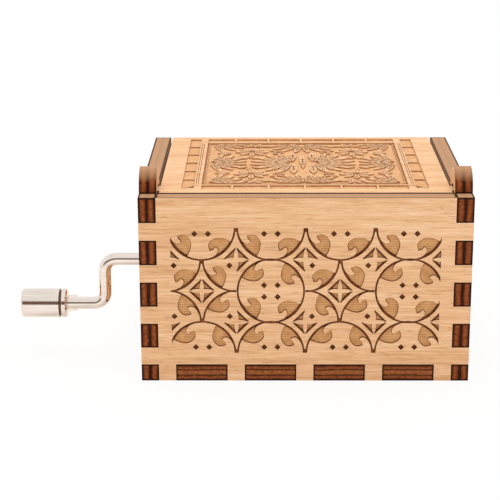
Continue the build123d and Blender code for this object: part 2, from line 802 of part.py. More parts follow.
with BuildPart() as comb_screws:
    with BuildSketch(Plane.XY.offset(comb_underside - comb_screw_grip)):
        with Locations(*comb_screw_places):
            Circle(comb_screw_radius)
    extrude(amount=comb_screw_grip + comb_thickness + comb_screw_head_height)
    with BuildSketch(Plane.XY.offset(comb_top)):
        with Locations(*comb_screw_places):
            Circle(comb_screw_head_radius)
    extrude(amount=comb_screw_head_height)
    with BuildSketch(Plane.XY.offset(comb_top + comb_screw_head_height - slot_depth)):
        with Locations(*comb_screw_places):
            Rectangle(slot_width, 3 * comb_screw_head_radius)
    extrude(amount=slot_depth, mode=Mode.SUBTRACT)

with BuildPart() as bracket_screws:
    foot_top = bed_top + bracket_sheet
    with BuildSketch(Plane.XY.offset(sheet + press_gap)):
        with Locations(*bracket_screw_places):
            Circle(bracket_screw_radius)
    extrude(amount=foot_top - sheet)
    with BuildSketch(Plane.XY.offset(foot_top)):
        with Locations(*bracket_screw_places):
            Circle(bracket_screw_head_radius)
    extrude(amount=bracket_screw_head_height)
    with BuildSketch(Plane.XY.offset(foot_top + bracket_screw_head_height - slot_depth)):
        with Locations(*bracket_screw_places):
            Rectangle(3 * bracket_screw_head_radius, slot_width)
    extrude(amount=slot_depth, mode=Mode.SUBTRACT)

# ============================================================================= export
pieces = {
    "base_board": base_board,
    "hinge_side_wall": hinge_side_wall,
    "opening_side_wall": opening_side_wall,
    "crank_side_wall": crank_side_wall,
    "far_side_wall": far_side_wall,
    "lid": lid,
    "bedplate": bedplate,
    "gear_bracket": gear_bracket,
    "comb": comb,
    "comb_weights": comb_weights,
    "pin_cylinder": pin_cylinder,
    "cylinder_arbor": cylinder_arbor,
    "cylinder_end_cap": cylinder_end_cap,
    "worm_wheel": worm_wheel,
    "worm_shaft": worm_shaft,
    "shaft_clip": shaft_clip,
    "crank_rod": crank_rod,
    "crank_knob": crank_knob,
    "mounting_screws": mounting_screws,
    "comb_screws": comb_screws,
    "bracket_screws": bracket_screws,
}

os.makedirs("parts", exist_ok=True)
for label, piece in pieces.items():
    piece.part.label = label
    export_step(piece.part, f"parts/{label}.step")
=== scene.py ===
from math import cos, pi, radians, sin

import bmesh
import bpy
from mathutils import Matrix, Vector
from mathutils.geometry import delaunay_2d_cdt


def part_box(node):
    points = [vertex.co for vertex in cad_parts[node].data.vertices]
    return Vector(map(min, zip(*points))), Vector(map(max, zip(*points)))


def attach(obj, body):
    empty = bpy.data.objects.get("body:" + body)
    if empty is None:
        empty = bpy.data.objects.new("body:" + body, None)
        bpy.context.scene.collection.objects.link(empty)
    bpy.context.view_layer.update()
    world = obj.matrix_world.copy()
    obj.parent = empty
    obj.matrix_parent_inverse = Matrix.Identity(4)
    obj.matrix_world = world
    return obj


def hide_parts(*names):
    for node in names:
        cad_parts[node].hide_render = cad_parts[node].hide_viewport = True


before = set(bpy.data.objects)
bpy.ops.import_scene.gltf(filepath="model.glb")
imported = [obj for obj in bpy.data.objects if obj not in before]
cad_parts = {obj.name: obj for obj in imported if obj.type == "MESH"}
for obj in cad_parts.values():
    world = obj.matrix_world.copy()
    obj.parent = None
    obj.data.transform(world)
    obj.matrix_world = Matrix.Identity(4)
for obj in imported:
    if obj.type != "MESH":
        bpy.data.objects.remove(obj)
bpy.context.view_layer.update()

# A hand-cranked plywood music box on a pale floor. The box's lengths are millimetres, turned
# into metres by mm, and the studio's are metres. Ornament is drawn in millimetres on the flat
# of each sheet.
scene = bpy.context.scene
mm = 0.001

# laser work
line_depth = 0.32 * mm
pocket_depth = 0.24 * mm
scorch_width = 0.12 * mm
scorch_slope = 0.05 * mm
# the dark rim round each broad cut face: laser char, and painted shade in the joints and gaps
# between the fingers
char_and_shade_margin = 0.6 * mm
least_char_and_shade_area = 4 * mm**2
char_and_shade_start, char_and_shade_full = 0.35, 0.6

# meshes
merge_distance = 0.001 * mm
level_slack = 10 * merge_distance
outline_slack = 1e-4
flat_within, smooth_within, bevel_above = radians(0.6), radians(28), radians(40)
# shares of a sheet's face: the least that is engraved, and how far the areas may be out
least_engraved, area_slack = 0.01, 0.005

# order of the finishes on every plywood piece
FACE, EDGE, SCORCH, FLOOR = range(4)


# ------------------------------------------------------------------------------ finishes
def paint(red, green, blue):
    """A colour given as the eye sees it, 0 to 255, as the shader wants it."""
    shares = [c / 255 for c in (red, green, blue)]
    return [c / 12.92 if c <= 0.04045 else ((c + 0.055) / 1.055) ** 2.4 for c in shares] + [1.0]


def node(tree, kind, inputs=None, **settings):
    """Adds a shader node; an input may be a plain value or another node's socket."""
    made = tree.nodes.new(kind)
    for name, value in settings.items():
        setattr(made, name, value)
    for socket, value in (inputs or {}).items():
        if isinstance(value, bpy.types.NodeSocket):
            tree.links.new(value, made.inputs[socket])
        else:
            made.inputs[socket].default_value = value
    return made


def new_finish(name, roughness, metallic=0.0, gloss=0.5):
    """An empty node material; returns it with its tree and its surface shader."""
    material = bpy.data.materials.new(name)
    material.use_nodes = True
    shader = material.node_tree.nodes["Principled BSDF"]
    shader.inputs["Roughness"].default_value = roughness
    shader.inputs["Metallic"].default_value = metallic
    shader.inputs["Specular IOR Level"].default_value = gloss
    return material, material.node_tree, shader


def place(tree):
    return node(tree, "ShaderNodeTexCoord").outputs["Object"]


def noise(tree, scale, detail=4.0, roughness=0.6):
    """Noise whose grain is 1/scale metres along each axis."""
    spread = node(tree, "ShaderNodeMapping", {"Vector": place(tree), "Scale": scale})
    return node(
        tree,
        "ShaderNodeTexNoise",
        {"Vector": spread.outputs[0], "Scale": 1.0, "Detail": detail, "Roughness": roughness},
    ).outputs["Fac"]


def along(axis, fast, slow):
    """Noise scale that is drawn out along one axis."""
    scale = [fast] * 3
    scale[axis] = slow
    return scale


def ramp(tree, factor, stops):
    """Colours along a factor, as (position, (red, green, blue))."""
    made = node(tree, "ShaderNodeValToRGB", {"Fac": factor})
    band = made.color_ramp.elements
    while len(band) < len(stops):
        band.new(0.5)
    for element, (position, colour) in zip(band, stops):
        element.position = position
        element.color = paint(*colour)
    return made.outputs["Color"]


def combine(tree, operation, a, b):
    return node(tree, "ShaderNodeMath", {0: a, 1: b}, operation=operation).outputs[0]


def weighed(tree, first, share, second):
    """The first value by its share and the second by the rest."""
    part = combine(tree, "MULTIPLY", first, share)
    rest = combine(tree, "MULTIPLY", second, 1 - share)
    return combine(tree, "ADD", part, rest)


def remap(tree, value, ends):
    """A value stretched between its ends, which are 0 and 1 where they aren't given."""
    return node(tree, "ShaderNodeMapRange", {"Value": value, **ends}).outputs[0]


# the Mix node's colour sockets, by number because its other kinds of value share their names
FIRST_COLOUR, SECOND_COLOUR, MIXED_COLOUR = 6, 7, 2


def blend(tree, factor, first, second, mode="MIX"):
    inputs = {"Factor": factor, FIRST_COLOUR: first, SECOND_COLOUR: second}
    made = node(tree, "ShaderNodeMix", inputs, data_type="RGBA", blend_type=mode)
    return made.outputs[MIXED_COLOUR]


def bump(tree, shader, height, depth, strength=0.5):
    inputs = {"Height": height, "Distance": depth, "Strength": strength}
    made = node(tree, "ShaderNodeBump", inputs)
    tree.links.new(made.outputs["Normal"], shader.inputs["Normal"])


def bare_basswood(name, grain):
    """Pale sanded ply face: fine streaks along the grain, soft bands and short dark pores."""
    material, tree, shader = new_finish(name, 0.65, gloss=0.15)
    streaks = noise(tree, along(grain, 2700, 120), 6.0, 0.75)
    bands = noise(tree, along(grain, 420, 20), 3.0)
    wood = ramp(tree, weighed(tree, streaks, 0.7, bands), [
        (0.34, (200, 148, 102)),
        (0.45, (228, 177, 131)),
        (0.54, (239, 192, 147)),
        (0.66, (250, 213, 173)),
    ])
    specks = noise(tree, along(grain, 4600, 420), 2.0)
    pores = ramp(tree, specks, [(0.6, (0, 0, 0)), (0.7, (170, 170, 170))])
    colour = blend(tree, pores, wood, paint(158, 106, 66))
    tree.links.new(colour, shader.inputs["Base Color"])
    bump(tree, shader, streaks, 0.03 * mm, 0.35)
    return material


# tones through the thickness of a sheet, from one face to the other
wall_plies = [
    (0.00, (58, 25, 10)), (0.10, (112, 52, 22)), (0.24, (170, 92, 46)), (0.36, (150, 76, 36)),
    (0.44, (66, 31, 16)), (0.56, (62, 29, 15)), (0.64, (152, 78, 37)), (0.77, (172, 94, 47)),
    (0.91, (104, 48, 21)), (1.00, (54, 24, 11)),
]
base_plies = [
    (0.00, (54, 24, 11)), (0.10, (128, 64, 32)), (0.25, (176, 102, 56)), (0.33, (78, 38, 20)),
    (0.41, (176, 104, 58)), (0.59, (184, 110, 62)), (0.67, (80, 39, 21)), (0.75, (174, 100, 54)),
    (0.90, (124, 62, 30)), (1.00, (50, 22, 10)),
]


def burnt_ply_edge(name, axis, low, high, ply_tones):
    """Laser-cut edge: plies and dark glue lines, a dark rim of char and painted shade, paler where
    it faces up as painted light.
    """
    material, tree, shader = new_finish(name, 0.6, gloss=0.08)
    parts = node(tree, "ShaderNodeSeparateXYZ", {0: place(tree)})
    depth = remap(tree, parts.outputs[axis], {"From Min": low, "From Max": high})
    waves = combine(tree, "SUBTRACT", noise(tree, (260, 260, 260), 2.0), 0.5)
    wander = combine(tree, "MULTIPLY", waves, 0.16)
    plies = ramp(tree, combine(tree, "ADD", depth, wander), ply_tones)
    fibres = ramp(tree, noise(tree, (1500, 1500, 1500), 3.0),
                  [(0.3, (168, 156, 150)), (0.7, (255, 255, 255))])
    colour = blend(tree, 1.0, plies, fibres, "MULTIPLY")

    # painted light: the cut edge turns paler where it faces up, as if lit from above
    normal = node(tree, "ShaderNodeTexCoord").outputs["Normal"]
    slope = node(tree, "ShaderNodeSeparateXYZ", {0: normal})
    painted_top_light = remap(tree, slope.outputs["Z"], {"From Min": 0.45, "To Max": 0.7})
    colour = blend(tree, painted_top_light, colour, paint(208, 162, 122))

    # the rim of each broad cut face goes dark: laser char, and painted shade where the fingers meet
    rim = node(tree, "ShaderNodeAttribute", attribute_name="char_and_shade").outputs["Fac"]
    charred_and_shaded = remap(tree, rim, {"From Min": char_and_shade_start, "From Max": char_and_shade_full})
    colour = blend(tree, combine(tree, "MULTIPLY", charred_and_shaded, 0.92), colour, paint(36, 14, 6))
    tree.links.new(colour, shader.inputs["Base Color"])
    bump(tree, shader, noise(tree, (1900, 1900, 1900)), 0.04 * mm)
    return material


def scorched_line(name, dark, light):
    """Burnt wood of a narrow groove or of a pocket's rim."""
    material, tree, shader = new_finish(name, 0.7, gloss=0.05)
    colour = ramp(tree, noise(tree, (900, 900, 900), 3.0), [(0.3, dark), (0.7, light)])
    tree.links.new(colour, shader.inputs["Base Color"])
    return material


def engraved_floor(name, direction, tones):
    """Floor of a raster-engraved pocket: tan, with the laser's fine parallel lines."""
    material, tree, shader = new_finish(name, 0.75, gloss=0.05)
    pattern = {"Scale": 860.0, "Distortion": 0.6, "Detail": 1.0, "Detail Scale": 40.0}
    lines = node(
        tree, "ShaderNodeTexWave", {"Vector": place(tree), **pattern}, bands_direction=direction
    ).outputs["Fac"]
    cloud = noise(tree, (700, 700, 700), 3.0)
    tone = weighed(tree, lines, 0.35, cloud)
    colour = ramp(tree, tone, list(zip((0.25, 0.5, 0.75), tones)))
    tree.links.new(colour, shader.inputs["Base Color"])
    bump(tree, shader, lines, 0.03 * mm, 0.4)
    return material


def worn_metal(name, colour, roughness, brushing, metallic=1.0, relief=0.2):
    """Metal with fine scratches drawn out along one axis and slight clouding."""
    material, tree, shader = new_finish(name, roughness, metallic)
    scratches = noise(tree, brushing, 4.0)
    dark = tuple(c * 0.9 for c in colour)
    tone = ramp(tree, scratches, [(0.3, dark), (0.65, colour)])
    tree.links.new(tone, shader.inputs["Base Color"])
    rough = remap(tree, noise(tree, (300, 300, 300)),
                  {"To Min": roughness * 0.8, "To Max": roughness * 1.3})
    tree.links.new(rough, shader.inputs["Roughness"])
    bump(tree, shader, scratches, 0.01 * mm, relief)
    return material


# ------------------------------------------------------------------------------ outlines
def turned(points, degrees, centre=(0, 0)):
    c, s = cos(radians(degrees)), sin(radians(degrees))
    return [(centre[0] + x * c - y * s, centre[1] + x * s + y * c) for x, y in points]


def moved(points, dx, dy):
    return [(x + dx, y + dy) for x, y in points]


def arc(radius, start, end, steps):
    angles = [radians(start + (end - start) * i / steps) for i in range(steps + 1)]
    return [(radius * cos(a), radius * sin(a)) for a in angles]


def flowing(points, steps=4):
    """A smooth line through the points."""
    ends = [points[0], *points, points[-1]]
    line = []
    for a, b, c, d in zip(ends, ends[1:], ends[2:], ends[3:]):
        for i in range(steps):
            t = i / steps
            line.append(tuple(
                0.5 * (2 * q + (r - p) * t + (2 * p - 5 * q + 4 * r - s) * t**2
                       + (3 * q - p - 3 * r + s) * t**3)
                for p, q, r, s in zip(a, b, c, d)
            ))
    return line + [points[-1]]


def bar(x0, y0, x1, y1):
    return [(x0, y0), (x1, y0), (x1, y1), (x0, y1)]


def stroke(start, end, width):
    """A straight groove with pointed ends."""
    a, b = Vector(start), Vector(end)
    side = (b - a).orthogonal().normalized() * width / 2
    taper = (b - a) * 0.2
    corners = (a, a + taper - side, b - taper - side, b, b - taper + side, a + taper + side)
    return [tuple(p) for p in corners]


# --------------------------------------------------------- circle and diamond ornament
ring_radius = 6.42
ring_line = 0.36
column_pitch = 20.0 / 3
row_pitch = 6.35
middle_height = 18.52
pattern_low, pattern_high = 5.7, 31.2
first_column = -20.0
hole_clearance = 3.4
QUARTERS = {(1, 1): 0, (-1, 1): 90, (-1, -1): 180, (1, -1): 270}

# A swirl leaf of the lower right quarter, from the ring's centre: back, hooked tip, belly.
leaf_back = [
    (5.62, -2.66), (4.34, -2.12), (2.98, -1.96), (1.82, -2.57), (1.32, -3.47), (1.6, -4.6),
]
leaf_belly = [
    (1.6, -4.6), (2.21, -4.38), (2.79, -3.88), (3.18, -4.62), (2.61, -5.52), (1.64, -6.0),
]
leaf = flowing(leaf_back)[:-1] + flowing(leaf_belly)[:-1] + arc(6.28, -74, -26, 8)
petal = [(0.18, 2.3), (0.42, 1.1), (0.42, 0.42), (1.1, 0.42), (2.3, 0.18)]
petal_edge = [(0.1, 2.5), (0.1, 2.02), (2.02, 0.1), (2.5, 0.1)]
dot = [(0.62, 0), (0, 0.62), (-0.62, 0), (0, -0.62)]
dot_centre = [(0.27, 0), (0, 0.27), (-0.27, 0), (0, -0.27)]
dot_place = (1.3, 1.18)
# two rings side by side burn together this far up or down from where they are closest
joint_width, joint_reach = 0.2, 0.8

# column and row of a centre, and the quarters of a ring or of petals that are drawn round it
above, below = [(1, 1), (-1, 1)], [(1, -1), (-1, -1)]
ring_quarters = {(i, 2): below for i in (0, 2, 4, 6)}
ring_quarters |= {(i, -2): above for i in (0, 2, 4, 6)}
ring_quarters |= {(2, 0): above + below, (6, 0): above + below}
ring_quarters |= {(1, 1): [(-1, -1)], (3, 1): [(1, -1)], (5, 1): [(-1, -1)], (-1, 1): [(1, -1)]}
ring_quarters |= {(1, -1): [(-1, 1)], (3, -1): [(1, 1)], (5, -1): [(-1, 1)], (-1, -1): [(1, 1)]}
petal_quarters = {
    (i, j): [q for q in QUARTERS if q not in ring_quarters[(i, j)]]
    for i in (1, 3, 5) for j in (1, -1)
}
petal_quarters |= {(7, j): [(-1, 1), (-1, -1)] for j in (1, -1)}
petal_quarters |= {(-1, 1): [(1, 1)], (-1, -1): [(1, -1)]}
petal_quarters |= {(0, 0): above + below, (4, 0): above + below}


def wall_ornament(reach, shift=0.0, hole=None):
    """Outlines for a wall, as far as reach to both sides of its middle, and none by a hole."""
    half = ring_line / 2
    groove = arc(ring_radius + half, 0, 90, 14) + arc(ring_radius - half, 90, 0, 14)
    shapes = []

    def centre_at(column, row):
        return first_column + shift + column * column_pitch, middle_height + row * row_pitch

    for (column, row), quarters in ring_quarters.items():
        centre = centre_at(column, row)
        for quarter in quarters:
            start = QUARTERS[quarter]
            shapes.append(("line", turned(groove, start, centre)))
            shapes.append(("pocket", turned(leaf, start + 90, centre)))
            spot = [dot_place[k] * quarter[k] + centre[k] for k in (0, 1)]
            shapes += [("line", moved(dot, *spot)), ("centre", moved(dot_centre, *spot))]
            if row:
                x = centre[0] + quarter[0] * column_pitch
                low, high = sorted((centre[1], centre[1] + quarter[1] * joint_reach))
                joint = bar(x - joint_width / 2, low, x + joint_width / 2, high)
                shapes.append(("line", joint))
    for (column, row), quarters in petal_quarters.items():
        centre = centre_at(column, row)
        for quarter in quarters:
            shapes.append(("pocket", turned(petal, QUARTERS[quarter], centre)))
            shapes.append(("line", turned(petal_edge, QUARTERS[quarter], centre)))

    # what lies wholly past the window isn't cut, and would only split the edges of the fingers
    shapes = [shape for shape in shapes if min(abs(x) for x, _ in shape[1]) < reach]
    if hole:
        shapes = [
            shape for shape in shapes
            if all((Vector(p) - Vector(hole)).length > hole_clearance for p in shape[1])
        ]
    return [("window", bar(-reach, pattern_low, reach, pattern_high))] + shapes


# ------------------------------------------------------------------------- lid ornament
rib_width, vein_width = 0.2, 0.16
shortest_veined = 6


def blade(base, degrees, length, width):
    """A raised pointed leaf with a grooved rib, and side veins where it is long enough."""
    steps = 7
    stem = 0.2 + 0.1 * length  # leaves of one fan start apart, so that no two share a corner
    side = [
        (stem + (length - stem) * i / steps, width / 2 * sin(pi * (i / steps) ** 1.3) ** 0.8)
        for i in range(1, steps)
    ]
    outline = [(stem, 0)] + [(x, -y) for x, y in side] + [(length, 0)] + side[::-1]
    grooves = [stroke((stem + 0.12 * length, 0), (0.86 * length, 0), rib_width)]
    for k in range(3 if length > shortest_veined else 0):
        root = length * (0.34 + 0.15 * k)
        for up in (1, -1):
            tip = (root + 0.11 * length, up * 0.32 * width)
            grooves.append(stroke((root, up * 0.17), tip, vein_width))
    shapes = [("raised", outline)] + [("line", groove) for groove in grooves]
    return [(kind, turned(points, degrees, base)) for kind, points in shapes]


def lid_ornament():
    """A field of mirrored leaf fans round one upright leaf, in a border of square cells."""
    middle = 2.5
    half_x, half_y = 19.7, 17.5
    top, bottom = middle + half_y, middle - half_y
    shapes = [("field", bar(-half_x, bottom, half_x, top))]
    # a quarter of the field: where a fan starts, its leaves' directions, their length and width
    fans = [
        ((2.0, 0.0), (10, 30, 50, 70, 90), 9.0, 1.45),
        ((19.3, 0.0), (170, 150, 130, 110), 7.8, 1.25),
        ((0.0, 17.2), (-80, -60, -40, -20), 8.2, 1.3),
        ((19.2, 17.0), (188, 208, 228, 248), 7.8, 1.25),
        ((10.6, 9.6), (0, 45, 90, 135, 180, 225, 270, 315), 3.5, 1.2),
        ((9.9, 13.9), (30, 70, 110, 150), 3.2, 0.95),
        ((14.6, 8.6), (-30, 0, 30), 3.3, 0.95),
        ((5.7, 9.8), (60, 130, 200, 270), 2.0, 0.8),
        ((11.0, 3.6), (20, 90, 160), 2.6, 0.8),
    ]
    drawn = [piece for base, turns, length, width in fans for t in turns
             for piece in blade(base, t, length, width)]
    for flip_x, flip_y in ((1, 1), (1, -1), (-1, 1), (-1, -1)):
        shapes += [(kind, [(x * flip_x, y * flip_y + middle) for x, y in line])
                   for kind, line in drawn]
    shapes += blade((0, middle - 6.4), 90, 12.8, 1.3)

    # frame line round the field
    inner, outer = 0.1, 0.55
    shapes += [
        ("line", bar(-half_x - outer, bottom - outer, half_x + outer, bottom - inner)),
        ("line", bar(-half_x - outer, top + inner, half_x + outer, top + outer)),
        ("line", bar(-half_x - outer, bottom - inner, -half_x - inner, top + inner)),
        ("line", bar(half_x + inner, bottom - inner, half_x + outer, top + inner)),
    ]
    # cells up both sides, then along the front and the back
    cell, rib = 7.1, 0.4
    side_cells, front_cells, back_cells = (21.7, 24.1), (-19.3, -16.4), (21.3, 24.0)
    lowest_cell, row_reach = -18.5, 20.4
    for i in range(6):
        low = lowest_cell + i * cell + rib / 2
        for side in (1, -1):
            near, far = [side * x for x in side_cells]
            shapes.append(("pocket", bar(near, low, far, low + cell - rib)))
    for i in range(-3, 3):
        left = max(i * cell, -row_reach) + rib / 2
        right = min((i + 1) * cell, row_reach) - rib / 2
        for low, high in (front_cells, back_cells):
            shapes.append(("pocket", bar(left, low, right, high)))
    # mitres at the front corners, which cross the ends of the side cells, and a double bar
    for side in (1, -1):
        shapes.append(("line", stroke((side * 20.5, -15.9), (side * 24.2, -19.4), 0.25)))
        for x in (20.9, 21.3):
            shapes.append(("line", bar(side * x, bottom, side * (x + 0.12), top)))
    return shapes


# ----------------------------------------------------------------------- plywood pieces
class Outline:
    """A closed line on the flat of a sheet, and what it marks."""

    def __init__(self, kind, points):
        self.kind, self.points = kind, points
        self.low = [min(p[k] for p in points) for k in (0, 1)]
        self.high = [max(p[k] for p in points) for k in (0, 1)]
        self.sides = list(zip(points, points[1:] + points[:1]))

    def holds(self, x, y):
        if not (self.low[0] <= x <= self.high[0] and self.low[1] <= y <= self.high[1]):
            return False
        crossed = [
            x < ax + (y - ay) / (by - ay) * (bx - ax)
            for (ax, ay), (bx, by) in self.sides if (ay > y) != (by > y)
        ]
        return sum(crossed) % 2 == 1


def finish_kind(kinds, all_over):
    """What a bit of a sheet's face becomes, from the outlines that it lies in."""
    if all_over or "window" in kinds:
        if "centre" in kinds:
            return FLOOR
        if "line" in kinds:
            return SCORCH
        if "pocket" in kinds or ("field" in kinds and "raised" not in kinds):
            return FLOOR
    return FACE


def sink(bm, faces, depth, out, kind_of):
    """Pushes a group of faces into the sheet and scorches the walls that this makes."""
    # edges and corners go in as well: given faces alone, the operator leaves the old ones on top
    edges = list(dict.fromkeys(edge for face in faces for edge in face.edges))
    corners = list(dict.fromkeys(vert for face in faces for vert in face.verts))
    made = bmesh.ops.extrude_face_region(bm, geom=faces + edges + corners)["geom"]
    floor = [g for g in made if isinstance(g, bmesh.types.BMFace)]
    lowered = [g for g in made if isinstance(g, bmesh.types.BMVert)]
    bmesh.ops.translate(bm, verts=lowered, vec=-out * depth)
    for wall in {f for face in floor for vert in face.verts for f in vert.link_faces} - set(floor):
        wall.material_index = SCORCH
        wall[kind_of] = FACE
    return floor


def area_on_top(bm, out, level):
    """Area of all that lies at the sheet's outer level, whichever way it faces."""
    return sum(
        f.calc_area() for f in bm.faces
        if all(abs(v.co.dot(out) - level) < merge_distance for v in f.verts)
    )


def put_in_order(bm):
    """Gives edges and faces a fixed order, as the extrusion adds its walls in another each run."""
    bm.verts.index_update()
    for parts in (bm.edges, bm.faces):
        ordered = sorted(parts, key=lambda part: sorted(vert.index for vert in part.verts))
        rank = {part: i for i, part in enumerate(ordered)}
        parts.sort(key=rank.get)


def draw_on_face(bm, outlines, out, across, up, level, kind_of, all_over):
    """Splits a sheet's outer face along the outlines and notes what each bit becomes."""
    outer = [
        f for f in bm.faces
        if f.normal.dot(out) > 0.99
        and abs(f.calc_center_median().dot(out) - level) < level_slack
    ]
    lines = [
        Outline("plate", [(v.co.dot(across) / mm, v.co.dot(up) / mm) for v in f.verts])
        for f in outer
    ]
    lines += [Outline(kind, list(outline)) for kind, outline in outlines]
    points, sides = [], []
    for line in lines:
        start, count = len(points), len(line.points)
        points += [Vector(p) for p in line.points]
        sides += [(start + k, start + (k + 1) % count) for k in range(count)]
    coords, _, triangles, _, _, _ = delaunay_2d_cdt(points, sides, [], 0, outline_slack)
    bmesh.ops.delete(bm, geom=outer, context="FACES_ONLY")
    verts = [bm.verts.new((across * p.x + up * p.y) * mm + out * level) for p in coords]
    for corners in triangles:
        x, y = sum((coords[i] for i in corners), Vector((0, 0))) / 3
        here = {line.kind for line in lines if line.holds(x, y)}
        if "plate" in here:
            face = bm.faces.new([verts[i] for i in corners])
            face[kind_of] = finish_kind(here, all_over)
    bmesh.ops.delete(bm, geom=[v for v in bm.verts if not v.link_faces], context="VERTS")
    bmesh.ops.remove_doubles(bm, verts=bm.verts, dist=merge_distance)


def engrave(bm, name, outlines, out, across, up, level):
    """Cuts a sheet's outer face: burnt lines, and pockets whose floors have a scorched rim."""
    kind_of = bm.faces.layers.int.new("kind")
    draw_on_face(bm, outlines, out, across, up, level, kind_of, all_over=name == "lid")
    whole = area_on_top(bm, out, level)
    marked = 0.0
    for kind, depth in ((SCORCH, line_depth), (FLOOR, pocket_depth)):
        chosen = [f for f in bm.faces if f[kind_of] == kind]
        marked += sum(f.calc_area() for f in chosen)
        floor = sink(bm, chosen, depth, out, kind_of)
        for face in floor:
            face.material_index = kind
        if kind == FLOOR:
            rim = bmesh.ops.inset_region(
                bm, faces=floor, thickness=scorch_width, depth=-scorch_slope,
                use_boundary=True, use_even_offset=False,
            )["faces"]
            for face in rim:
                face.material_index = SCORCH
    # a sheet whose marked faces are still on top, or that has none, stops the script
    left = area_on_top(bm, out, level)
    if marked < least_engraved * whole or abs(whole - marked - left) > area_slack * whole:
        areas = [round(a / mm**2, 1) for a in (whole, marked, left)]
        raise ValueError(f"{name} isn't engraved as marked (whole, marked, left on top): {areas}")
    bm.faces.layers.int.remove(bm.faces.layers.int["kind"])
    put_in_order(bm)


def char_and_shade_rims(bm):
    """Notes on each corner of the cut edges how dark its rim goes, from char and painted shade: the
    broad ones all round.
    """
    char_and_shade = bm.verts.layers.float.new("char_and_shade")
    cut = [f for f in bm.faces if f.material_index == EDGE]
    broad = [f for f in cut if len(f.verts) == 4 and f.calc_area() > least_char_and_shade_area]

    def note(faces, amount):
        for face in faces:
            for vert in face.verts:
                vert[char_and_shade] = amount

    note(cut, char_and_shade_start)
    note(broad, 1.0)
    bmesh.ops.inset_individual(bm, faces=broad, thickness=char_and_shade_margin, use_even_offset=True)
    note(broad, 0.0)


def merged_copy(name):
    bm = bmesh.new()
    bm.from_mesh(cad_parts[name].data)
    bmesh.ops.remove_doubles(bm, verts=bm.verts, dist=merge_distance)
    bmesh.ops.dissolve_limit(bm, angle_limit=flat_within, verts=bm.verts, edges=bm.edges)
    return bm


def add_piece(name, bm, finishes, body):
    """Makes the mesh an object that stands for its CAD node and moves with its body."""
    for face in bm.faces:
        face.smooth = True
    for edge in bm.edges:
        edge.smooth = edge.is_manifold and edge.calc_face_angle(0.0) < smooth_within
    mesh = bpy.data.meshes.new(name + "_dressed")
    bm.to_mesh(mesh)
    bm.free()
    for finish in finishes:
        mesh.materials.append(finish)
    piece = bpy.data.objects.new(name + "_dressed", mesh)
    scene.collection.objects.link(piece)
    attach(piece, body)
    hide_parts(name)
    return piece


def ply_piece(name, out, across, up, grain, body, outlines=(), raster="Z"):
    """A laser-cut sheet: its outer face engraved, its edges burnt."""
    out, across, up = Vector(out), Vector(across), Vector(up)
    low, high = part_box(name)
    level = max(low.dot(out), high.dot(out))
    thick = max(range(3), key=lambda k: abs(out[k]))
    bm = merged_copy(name)
    for face in bm.faces:
        face.material_index = FACE if abs(face.normal.dot(out)) > 0.5 else EDGE
    if outlines:
        engrave(bm, name, outlines, out, across, up, level)
    char_and_shade_rims(bm)
    plies = base_plies if name == "base_board" else wall_plies
    floor_tones = lid_floor if name == "lid" else wall_floor
    finishes = [
        basswood[grain],
        burnt_ply_edge("burnt_edge_" + name, thick, low[thick], high[thick], plies),
        scorched_lightly if name == "lid" else scorched,
        engraved_floor("engraved_floor_" + name, raster, floor_tones),
    ]
    add_piece(name, bm, finishes, body)


basswood = {0: bare_basswood("basswood_along_x", 0), 1: bare_basswood("basswood_along_y", 1)}
scorched = scorched_line("scorched_line", (98, 50, 24), (166, 102, 60))
scorched_lightly = scorched_line("scorched_lightly", (158, 104, 64), (208, 154, 108))
wall_floor = [(176, 119, 72), (208, 152, 100), (226, 174, 122)]
lid_floor = [(200, 146, 98), (226, 173, 124), (240, 192, 145)]

crank_low, crank_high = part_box("worm_shaft")
crank_axis_y = (crank_low.y + crank_high.y) / 2 / mm
crank_axis_z = (crank_low.z + crank_high.z) / 2 / mm
long_reach, short_reach = 25.95, 19.9
long_wall = wall_ornament(long_reach)
short_wall = wall_ornament(short_reach, column_pitch)
crank_wall = wall_ornament(short_reach, column_pitch, (-crank_axis_y, crank_axis_z))

# name, then the ways out of the sheet, across it and up it, its grain, body and ornament
ply_piece("hinge_side_wall", (0, -1, 0), (1, 0, 0), (0, 0, 1), 0, "case", long_wall)
ply_piece("opening_side_wall", (0, 1, 0), (-1, 0, 0), (0, 0, 1), 0, "case", long_wall)
ply_piece("crank_side_wall", (-1, 0, 0), (0, -1, 0), (0, 0, 1), 1, "case", crank_wall)
ply_piece("far_side_wall", (1, 0, 0), (0, 1, 0), (0, 0, 1), 1, "case", short_wall)
ply_piece("lid", (0, 0, 1), (1, 0, 0), (0, 1, 0), 0, "lid", lid_ornament(), "Y")
ply_piece("base_board", (0, 0, -1), (1, 0, 0), (0, -1, 0), 0, "case")


# -------------------------------------------------------------------------- metal pieces
nickel = worn_metal("bright_nickel", (241, 229, 219), 0.1, (120, 2600, 2600), relief=0.04)
# painted shade: a dull brown nickel that darkens the knob's groove
painted_groove_shade = worn_metal("painted_shade_in_groove", (116, 92, 80), 0.4, (900, 900, 900))
plated = worn_metal("zinc_plated_steel", (205, 208, 212), 0.3, (1600, 1600, 160))
comb_steel = worn_metal("ground_comb_steel", (188, 190, 194), 0.28, (2800, 120, 2800))
screw_steel = worn_metal("bright_screw_steel", (196, 197, 200), 0.24, (1900, 1900, 1900))
lead = worn_metal("dull_lead", (122, 124, 130), 0.6, (900, 900, 900))
brass = worn_metal("polished_brass", (226, 184, 106), 0.22, (1800, 200, 1800))
cast_zinc = worn_metal("cast_zinc", (170, 171, 173), 0.5, (1200, 1200, 1200))
nylon = worn_metal("white_nylon", (236, 232, 220), 0.42, (500, 500, 500), metallic=0.0)

